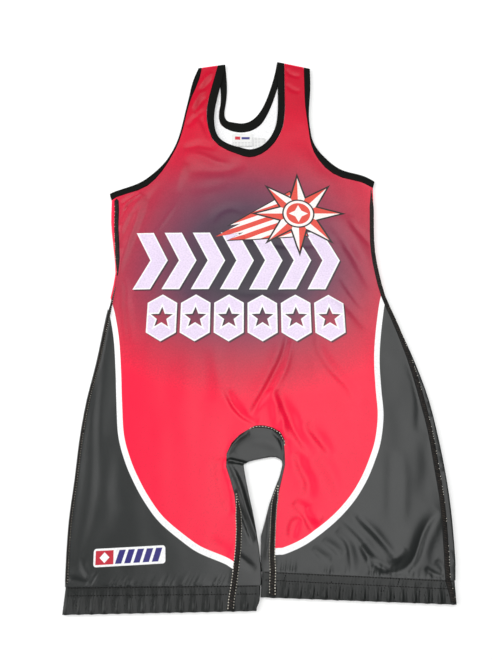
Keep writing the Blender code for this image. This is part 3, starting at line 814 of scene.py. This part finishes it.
def mottled(look, colour):
    """The slight unevenness of dyed knit, from stitch to stitch."""
    grain = ((look.noise(520.0, 1.0) - 0.5) * 1.6 + 0.5).held()
    return look.mix(grain * 0.22, colour, rgb(14, 14, 16))


def lycra(look, colour):
    """Printed knit, with a second, clear sheen on its charcoal sides."""
    look.shader.inputs["Coat Roughness"].default_value = COAT_ROUGHNESS
    coat = (look.attribute("stripe") - STRIPE / 2).covers() * 0.3
    look.put(look.shader.inputs["Coat Weight"], coat)
    return look.finish(mottled(look, colour), 0.32 + look.noise(60.0) * 0.08, knit(look))


def printed_front():
    look = Look("printed_lycra", Specular_IOR_Level=0.31)
    middle, (aside, up, down) = DARK_PLACE[1], DARK_REACH
    u = (look.x - DARK_PLACE[0]) / aside
    v = ((look.y - middle) / up).most((middle - look.y) / down)
    reach = (u * u + v * v).do("SQRT") + (look.noise(9.0, 1.0) - 0.5) * 0.08
    colour = look.ramp(reach, (
        (0.0, rgb(52, 46, 56)), (0.21, rgb(58, 48, 62)), (0.36, rgb(88, 54, 76)),
        (0.46, rgb(122, 56, 80)), (0.57, rgb(154, 54, 78)), (0.71, rgb(190, 46, 70)),
        (0.86, rgb(222, 32, 64)), (1.0, RED)))
    colour = look.mix(rows_of_motifs(look, *DROP).covers(0.9) * 0.85, colour, SHADOW)
    # painted shade: the red darkens towards the shoulders, where less light falls
    colour = look.mix(((look.y - SHADE_FROM) / SHADE_OVER).held(), colour, SHADED_RED)
    motifs = rows_of_motifs(look)
    colour = look.over(colour, motifs, WHITE)
    tint = look.mix(look.noise(22.0), LAVENDER, rgb(240, 226, 246))
    colour = look.mix((motifs - 1.8).covers(1.2), colour, tint)
    return lycra(look, leg_mark(look, dyed(look, sunburst(look, colour))))


def printed_back():
    look = Look("back_lycra", Specular_IOR_Level=0.31)
    return lycra(look, dyed(look, look.mix(look.noise(9.0), RED, rgb(244, 34, 72))))


def plain_cloth(name, dark, light, rough, shine=0.35):
    look = Look(name, Specular_IOR_Level=shine)
    colour = mottled(look, look.mix(look.noise(18.0), dark, light))
    return look.finish(colour, rough + look.noise(70.0) * 0.06, knit(look))


def thread(name, dark, light):
    look = Look(name, Specular_IOR_Level=0.3)
    colour = look.mix(((look.noise(260.0) - 0.5) * 3.0 + 0.5).held(), dark, light)
    twist = (look.x + look.y).wave(0.5)
    return look.finish(colour, 0.6 + look.noise(300.0) * 0.1, twist, 0.3)


def woven_label():
    """White ribbon with a red block, a navy bar and rows of fine grey dashes."""
    look = Look("label", Sheen_Weight=0.1)
    colour = look.mix(look.noise(40.0), rgb(226, 226, 224), rgb(240, 240, 238))
    neck = (-8.5 - look.x).covers()
    dash = box_depth(look.x.cell(4.6), look.y.cell(2.4), 1.7, 0.35)
    low = (219.0 - look.y).most(look.x + 8.0).least(230.0 - look.y)
    colour = look.over(colour, dash.least(low), rgb(186, 186, 188))
    for middle, half_width, half_height, paint in ((-27.5, 3.6, 2.6, rgb(206, 36, 58)),
                                                   (-16.5, 5.6, 1.9, rgb(52, 48, 128))):
        block = box_depth(look.x - middle, look.y - LABEL_ROW, half_width, half_height)
        colour = look.mix(block.covers() * neck, colour, paint)
    return look.finish(colour, 0.5 + look.noise(80.0) * 0.05, look.y.wave(0.45), 0.3)


FRONT_PRINT = printed_front()
BACK_PRINT = printed_back()
INSIDE = plain_cloth("inside_lycra", rgb(244, 244, 244), rgb(254, 254, 254), 0.6)
BLACK = plain_cloth("black_lycra", rgb(18, 20, 18), rgb(25, 28, 27), 0.31, 0.5)
BAND = plain_cloth("band_lycra", rgb(20, 22, 20), rgb(28, 31, 30), 0.34, 0.3)
TAPE = plain_cloth("binding", rgb(12, 13, 11), rgb(19, 20, 17), 0.62, 0.08)
DARK_THREAD = thread("dark_thread", rgb(8, 8, 7), rgb(18, 16, 14))
DUSK_THREAD = thread("dusk_thread", rgb(20, 17, 15), rgb(64, 54, 46))
PALE_THREAD = thread("pale_thread", rgb(186, 178, 164), rgb(236, 230, 218))
LABEL = woven_label()


# ---------------------------------------------------------------- cloth
def front_cloth():
    """The front: smoothed form of its solid, the folds, and puckers above the leg bands."""
    skin = outer_skin("front_panel", True)
    outline = resampled(border_loop(skin), OUTLINE_PITCH)
    skin.free()
    places, faces, border = even_sheet(outline)
    x, y = places[:, 0], places[:, 1]
    found = [border.find((a, b, 0)) for a, b in zip(x, y)]
    away = np.array([f[2] for f in found])
    edge = outline[[f[1] for f in found], 2]
    z = edge + (Relief("front_panel").at(x, y) - edge) * ease(away / EDGE_HOLD)
    hold = ease(away / FOLD_HOLD)
    z += FOLD_RISE * folds_at(x, y, FRONT_FOLDS, FOLD_SPREAD) * hold
    z += (0.35 * rumple(x, y, 46.0, seed=1) + 0.12 * rumple(x, y, 15.0, seed=2)) * hold
    z += 0.55 * rumple(x, y * 0.4, 24.0, seed=4) * hold
    reach = HEM_PUCKER * (0.75 + 0.5 * rumple(x, y, 20.0, seed=3))
    for hem in HEMS:
        below, along = below_hem(x, y, hem)
        near = (below > -HEM_PUCKER) & (below < 2) & (x * hem.side > 0)
        fade = ease(1 + below[near] / reach[near])
        slant = along[near] + hem.lean * below[near]
        puffs = gathers(slant, PUCKER_PITCH, seed=20 + hem.side, narrow=0.6)
        z[near] += 0.9 * hem.side * fade ** 2 * puffs * ease(away[near] / 2)
    z = LOWEST + np.logaddexp(0, (z - LOWEST) / LOW_BLEND) * LOW_BLEND
    mesh = bpy.data.meshes.new("front_cloth")
    mesh.from_pydata(np.column_stack([x, y, z]) * MM, [], [list(f) for f in faces])
    turn_up(mesh)
    mark_stripe(mesh)
    piece = shell("front_cloth", mesh, (FRONT_PRINT, INSIDE), "front_panel")
    return piece, outline


def turn_up(mesh):
    """Make a sheet's faces look up."""
    if mesh.polygons[0].normal.z < 0:
        mesh.flip_normals()


def upper(z):
    """Share of a point that belongs to the upper layer of a folded piece, 0 on the lower one."""
    return ease((z - BACK_LAYER) / LAYER_BLEND)


def folded_cloth(node, name, pitch, upwards, slots, move, smoothing=0):
    """A shell round a folded solid; move gives the height to add at each point."""
    bm = outer_skin(node, upwards)
    cut_finely(bm, pitch)
    border = [v for v in bm.verts if v.is_boundary]
    tree = KDTree(len(border))
    for i, v in enumerate(border):
        tree.insert(v.co * LAYERS_APART, i)
    tree.balance()
    places = np.array([v.co[:] for v in bm.verts]) / MM
    away = np.array([tree.find(v.co * LAYERS_APART)[2] for v in bm.verts]) / MM
    lift = move(*places.T, away)
    x, y, z = places.T
    if smoothing:
        even = Relief(node, 2.0, smoothing).at(x, y) - z
        lift += even * upper(z) * ease(away / 3)
    aside = 0 * lift if node == "back_panel" else meet(x, y)
    for v, dx, dz in zip(bm.verts, aside, lift):
        v.co += Vector((dx, 0, dz)) * MM
    mesh = bpy.data.meshes.new(name)
    bm.to_mesh(mesh)
    bm.free()
    mark_stripe(mesh)
    return shell(name, mesh, slots, node)


def meet(x, y):
    """How far aside the inner edges of the legs go, so that they meet below the crotch."""
    rows = sorted(MEETINGS)
    places = [row.y for row in rows]
    left = np.interp(y, places, [row.left for row in rows])
    right = np.interp(y, places, [row.right for row in rows])
    edge = np.where(x < (left + right) / 2, left, right)
    shift = (left + right) / 2 - edge
    shift -= np.sign(shift) * 0.15
    near = (y < MEETINGS[0].y) & (np.abs(x) < 25)
    return np.where(near, shift, 0) * np.exp(-((x - edge) / 7) ** 2) * ease((y - MEETING_ENDS) / 8)


def back_moves(x, y, z, away):
    """Slight hollows under the back, which still rests flat over most of its face."""
    low = (z < 0.3) & (y < 150)
    uneven = rumple(x, y, 60.0, seed=5) + 0.5 * rumple(x, y, 22.0, seed=6)
    return 0.6 * np.clip(uneven - 0.1, 0, 1) * low * ease(away / 12)


def gusset_moves(x, y, z, away):
    lift = GUSSET_RISE * folds_at(x, y, GUSSET_FOLDS) + 0.2 * rumple(x, y, 14.0, seed=9)
    return lift * upper(z) * ease(away / 2.5)


def band_moves(hem):
    """Gathers of a leg band: fine between its rows of stitches, wider and slanted below them."""
    def move(x, y, z, away):
        below, along = below_hem(x, y, hem)
        first, second = HEM_ROWS
        slant = along + (below - second) * hem.lean
        half_slant = along + below * hem.lean * 0.5
        fine = gathers(half_slant, pitch=4.2, seed=30 + hem.side, narrow=0.7) * -0.5
        wide = hem.side * (gathers(slant, hem.pitch, seed=40 + hem.side) * 0.55
                           + gathers(slant, hem.pitch * 0.57, seed=50, narrow=0.5) * 0.15)
        share = ease((below - second) / 3)
        lift = fine * (1 - share) + wide * share * ease((hem.depth + 1 - below) / 5 + 0.35)
        for row in (first, second):
            lift -= 0.8 * np.exp(-((below - row) / 0.9) ** 2)
        ends = ease(along / 6) * ease((np.abs(hem.inner_x - hem.outer_x) - along) / 6)
        return lift * upper(z) * ends * ease(away / 0.8)
    return move


def binding(node):
    """Folded tape: its solid's ring, rounded, with its sewn edges kept."""
    mesh, bm = own_copy(node, TAPE)
    mesh.name = node + "_tape"
    piece = new_object(mesh.name, mesh)
    bmesh.ops.join_triangles(bm, faces=bm.faces, angle_face_threshold=math.radians(12),
                             angle_shape_threshold=math.radians(60))
    crease = bm.edges.layers.float.new("crease_edge")
    for edge in bm.edges:
        if edge.calc_face_angle(0) > math.radians(70):
            edge[crease] = 0.85
    bm.to_mesh(mesh)
    bm.free()
    rounding = piece.modifiers.new("rounding", "SUBSURF")
    rounding.levels = rounding.render_levels = 2
    apply_modifiers(piece)
    piece.data.shade_smooth()
    return declare(piece, node)


def label(node, skew):
    """A soft label: its solid's plate, cut finely, with a slight curl."""
    mesh, bm = own_copy(node, LABEL)
    cut_finely(bm, LABEL_PITCH)
    for v in bm.verts:
        x, y = v.co.x / MM, v.co.y / MM
        v.co.z += (CURL + CURL * math.sin((x + skew * y) / CURL_LENGTH)) * MM
    bm.to_mesh(mesh)
    bm.free()
    smooth(mesh)
    return declare(new_object(node + "_cloth", mesh), node)


# ---------------------------------------------------------------- sewing
def run_between(outline, start, end, through):
    """The part of a closed outline from one place to another that passes through a third."""
    def nearest(place):
        return int(np.argmin(np.hypot(outline[:, 0] - place[0], outline[:, 1] - place[1])))
    first, last, middle = nearest(start), nearest(end), nearest(through)
    count = len(outline)
    onward = [(first + i) % count for i in range((last - first) % count + 1)]
    if middle not in onward:
        onward = [(first - i) % count for i in range((first - last) % count + 1)]
    return outline[onward, :2]


def evenly(path, pitch):
    """Points at even steps along a path, and the directions there."""
    steps = np.linalg.norm(np.diff(path, axis=0), axis=1)
    run = np.concatenate([[0], np.cumsum(steps)])

    def at(wanted):
        return np.stack([np.interp(wanted, run, path[:, k]) for k in (0, 1)], axis=1)

    places = np.arange(pitch / 2, run[-1], pitch)
    along = at(places + SIGHT) - at(places - SIGHT)
    return at(places), along / np.linalg.norm(along, axis=1)[:, None]


def leftwards(along):
    """Directions, turned a quarter to the left."""
    return np.stack([-along[:, 1], along[:, 0]], axis=1)


def sew(name, surface, stitches, length, thick, material, raised=0.0):
    """One mesh of many stitches; each is a place and the angle that it lies at."""
    one = primitive(bpy.ops.mesh.primitive_uv_sphere_add, segments=6, ring_count=4, radius=0.5)
    shape = np.array([v.co[:] for v in one.data.vertices]) * (thick, thick, length)
    shape = shape[:, [2, 0, 1]]
    faces = [list(p.vertices) for p in one.data.polygons]
    bpy.data.meshes.remove(one.data)
    points, polygons = [], []
    for (x, y), angle in stitches:
        c, s = math.cos(angle), math.sin(angle)
        reach = length * RESTS_AT
        ends = [surface.height(x + k * c * reach, y + k * s * reach) for k in (-1, 1)]
        if None in ends:
            continue
        base, slope = sum(ends) / 2, (ends[1] - ends[0]) / (2 * reach)
        start = len(points)
        for u, v, w in shape:
            points.append((x + u * c - v * s, y + u * s + v * c,
                           base + raised + w + u * slope + thick * 0.15))
        polygons += [[start + i for i in face] for face in faces]
    mesh = bpy.data.meshes.new(name)
    mesh.from_pydata(np.array(points) * MM, [], polygons)
    mesh.materials.append(material)
    mesh.shade_smooth()
    return declare(new_object(name, mesh))


def straight_row(points, along):
    return [(p, math.atan2(d[1], d[0])) for p, d in zip(points, along)]


def flatlock(name, surface, path, middle, width, taper, closing):
    """The dense band of thread over a seam: a low rib, crossed by zigzag thread.

    middle is how far left of the path its middle runs, at the start and at the end. The rib widens
    over the length taper and narrows again over the length closing.
    """
    points, along = evenly(path, RIBBON_STEP)
    share = np.linspace(0, 1, len(points))[:, None]
    across = leftwards(along)
    points = points + across * (middle[0] + (middle[1] - middle[0]) * share)
    run = np.arange(len(points)) * RIBBON_STEP
    opened = 0.25 + 0.75 * ease(run / taper)
    closed = 0.3 + 0.7 * ease((run[-1] - run) / closing) if closing else 1
    half = width / 2 * np.minimum(opened, closed)
    last = len(points) - 1
    piece = primitive(bpy.ops.mesh.primitive_grid_add, x_subdivisions=RIBBON_COLUMNS,
                      y_subdivisions=last, size=2)
    piece.name = name
    mesh = piece.data
    spots = []
    under = np.zeros((len(points), RIBBON_COLUMNS + 1))
    for side, forward, _ in [v.co for v in mesh.vertices]:
        step, column = round((forward + 1) / 2 * last), round((side + 1) / 2 * RIBBON_COLUMNS)
        x, y = points[step] + across[step] * side * half[step]
        under[step, column] = surface.height(x, y) or 0
        spots.append((x, y, step, column, RIB_HEIGHT * (1 - side ** 4)))
    padded = np.pad(under, 1, mode="edge")
    under = np.max([padded[i:i + len(points), j:j + RIBBON_COLUMNS + 1]
                    for i in range(3) for j in range(3)], axis=0)
    for v, (x, y, step, column, rise) in zip(mesh.vertices, spots):
        v.co = Vector((x, y, under[step, column] + RIB_LIFT + rise)) * MM
    mesh.update()
    turn_up(mesh)
    mesh.materials.append(DARK_THREAD)
    thicken(piece, RIB_WALL)
    apply_modifiers(piece)
    piece.data.shade_smooth()
    declare(piece)
    rails = {side: points + across * side * (half[:, None] - RAIL_INSET) for side in (-1, 1)}
    zigzag = [(p, angle + (ZIGZAG if i % 4 else -ZIGZAG))
              for i, (p, angle) in enumerate(straight_row(points, along))
              if i % 2 and i * RIBBON_STEP > taper * 0.4]
    hatch = sew(name + "_hatch", Surface([piece]), zigzag, length=width * 0.8, thick=0.8,
                material=DUSK_THREAD, raised=0.1)
    return [piece, hatch], rails


# ---------------------------------------------------------------- assembly
front, outline = front_cloth()
back = folded_cloth("back_panel", "back_cloth", BACK_PITCH, False, (BACK_PRINT, INSIDE),
                    back_moves)
gusset = folded_cloth("crotch_gusset", "gusset_cloth", GUSSET_PITCH, False, (BLACK,),
                      gusset_moves, 3.0)
bands = [folded_cloth(node, node + "_cloth", BAND_PITCH, True, (BAND,),
                      band_moves(hem), 6.0)
         for node, hem in zip(("left_leg_band", "right_leg_band"), HEMS)]
tapes = [binding(node) for node in ("neck_binding", "left_armhole_binding",
                                    "right_armhole_binding")]
labels = [label("neck_label", 0.2), label("care_label", -0.4)]
surface = Surface([front, back, gusset] + bands)

# ---------------------------------------------------------------- seams
# dots: rows of pale stitches along the band of thread, each with its side (1 is left), its size and
# the share of its stitches that shows. tail: places where the band runs on, past the front's edge.
Seam = namedtuple("Seam", "name start end through tail middle width taper closing dots")
SEAMS = (
    Seam("left_side_seam", (-184, 128), (-180, 17), (-182, 80), [], (-0.4, 0.6), 5.8, 3, 26,
         ((-1, 0.7, 0.3),)),
    Seam("left_leg_seam", (-192, 4), (-203, -331), (-196, -60), [], (1.0, -0.4), 3.6, 40, 3,
         ((1, 0.55, 0.7),)),
    Seam("right_side_seam", (152, 141), (193, -326), (150, 20), [(194, -338), (195.2, -347)],
         (-0.4, 1.2), 5.6, 30, 0, ((1, 0.6, 0.3),)),
    Seam("left_inseam", (-28, -240), (-30.8, -330.7), (-27, -280), [(-33, -343), (-34, -354)],
         (2.6, 2.6), 6.4, 24, 0, ((-1, 1.0, 1), (1, 0.75, 1))),
    Seam("right_inseam", (18, -230), (15, -318), (16, -280), [(14, -331), (14, -341)],
         (-2.6, -2.6), 6.4, 16, 0, ((1, 1.0, 1), (-1, 0.8, 1))),
    Seam("arch_seam", (-12, -171), (27, -190), (8, -169), [], (0.5, 0.5), 2.6, 8, 8, ()),
)
sewing = []
for seam in SEAMS:
    path = run_between(outline, seam.start, seam.end, seam.through)
    path = np.vstack([path, *seam.tail])
    pieces, rails = flatlock(seam.name, surface, path, seam.middle, seam.width, seam.taper,
                             seam.closing)
    sewing += pieces
    top = Surface([pieces[0]])
    for side, size, share in seam.dots:
        points, along = evenly(rails[side], DOT_PITCH)
        shown = rumple(*points.T, 1.7, 60.0) > 0.55 - 1.6 * share
        name = f"{seam.name}_{'left' if side > 0 else 'right'}_dots"
        sewing.append(sew(name, top, straight_row(points[shown], along[shown]),
                          length=1.5 * size, thick=1.3 * size, material=PALE_THREAD, raised=0.2))
# path and pieces are still those of the arch seam, the last in the table.
points, along = evenly(path, ARCH_PITCH)
sewing.append(sew("arch_stitches", Surface([front, pieces[0]]),
                  straight_row(points + leftwards(along) * 0.5, along),
                  length=2.2, thick=0.9, material=PALE_THREAD, raised=0.4))
for hem in HEMS:
    side = "left" if hem.side < 0 else "right"
    for row, depth in enumerate(HEM_ROWS):
        path = np.array([(hem.outer_x + hem.side * -3, hem.outer_y - depth),
                         (hem.inner_x + hem.side * 2, hem.inner_y - depth)])
        stitches = straight_row(*evenly(path, HEM_PITCH))
        sewing.append(sew(f"{side}_hem_row_{row + 1}", surface, stitches, length=2.4, thick=1.0,
                          material=DARK_THREAD))

# ---------------------------------------------------------------- the tapes and the sewing, in one list that nothing keeps
tapes + sewing

# ---------------------------------------------------------------- floor, light and camera
floor = primitive(bpy.ops.mesh.primitive_plane_add, size=8, location=(0, 0, -0.0002))
floor.name = "floor"
paper = Look("floor", Roughness=0.9)
floor.data.materials.append(paper.finish(
    paper.mix(paper.noise(3.0), rgb(248, 248, 247), rgb(251, 251, 250)),
    0.85 + paper.noise(5.0) * 0.05))

world = bpy.data.worlds.new("studio")
world.use_nodes = True
air = world.node_tree.nodes["Background"].inputs
air["Color"].default_value = (0.95, 0.97, 1.0, 1)
air["Strength"].default_value = 0.15
bpy.context.scene.world = world

Lamp = namedtuple("Lamp", "name place aim width length power")
LAMPS = (
    Lamp("overhead", (0.50, 0.05, 2.0), (0.50, 0.05, 0.0), 1.7, 2.7, 39.0),
    Lamp("upper", (0.2, 1.3, 2.0), (0.2, 1.3, 0.0), 1.2, 0.8, 5.5),
    Lamp("key", (-1.9, 0.1, 1.1), (0, 0, 0), 2.2, 2.2, 44.0),
)
for lamp in LAMPS:
    light = bpy.data.lights.new(lamp.name, "AREA")
    light.shape = "RECTANGLE"
    light.size, light.size_y, light.energy = lamp.width, lamp.length, lamp.power
    softbox = bpy.data.objects.new(lamp.name, light)
    softbox.location = lamp.place
    turned = (Vector(lamp.aim) - Vector(lamp.place)).to_track_quat("-Z", "Y")
    softbox.rotation_euler = turned.to_euler()
    bpy.context.scene.collection.objects.link(softbox)

lens = bpy.data.cameras.new("camera")
lens.lens, lens.sensor_width, lens.clip_start = 27.04, 36.0, 0.01
camera = bpy.data.objects.new("camera", lens)
camera.location = (-0.0146, -0.2375, 0.570)
camera.rotation_euler = (math.radians(18.0), 0, 0)
bpy.context.scene.collection.objects.link(camera)
bpy.context.scene.camera = camera
bpy.context.scene.view_settings.view_transform = "Standard"
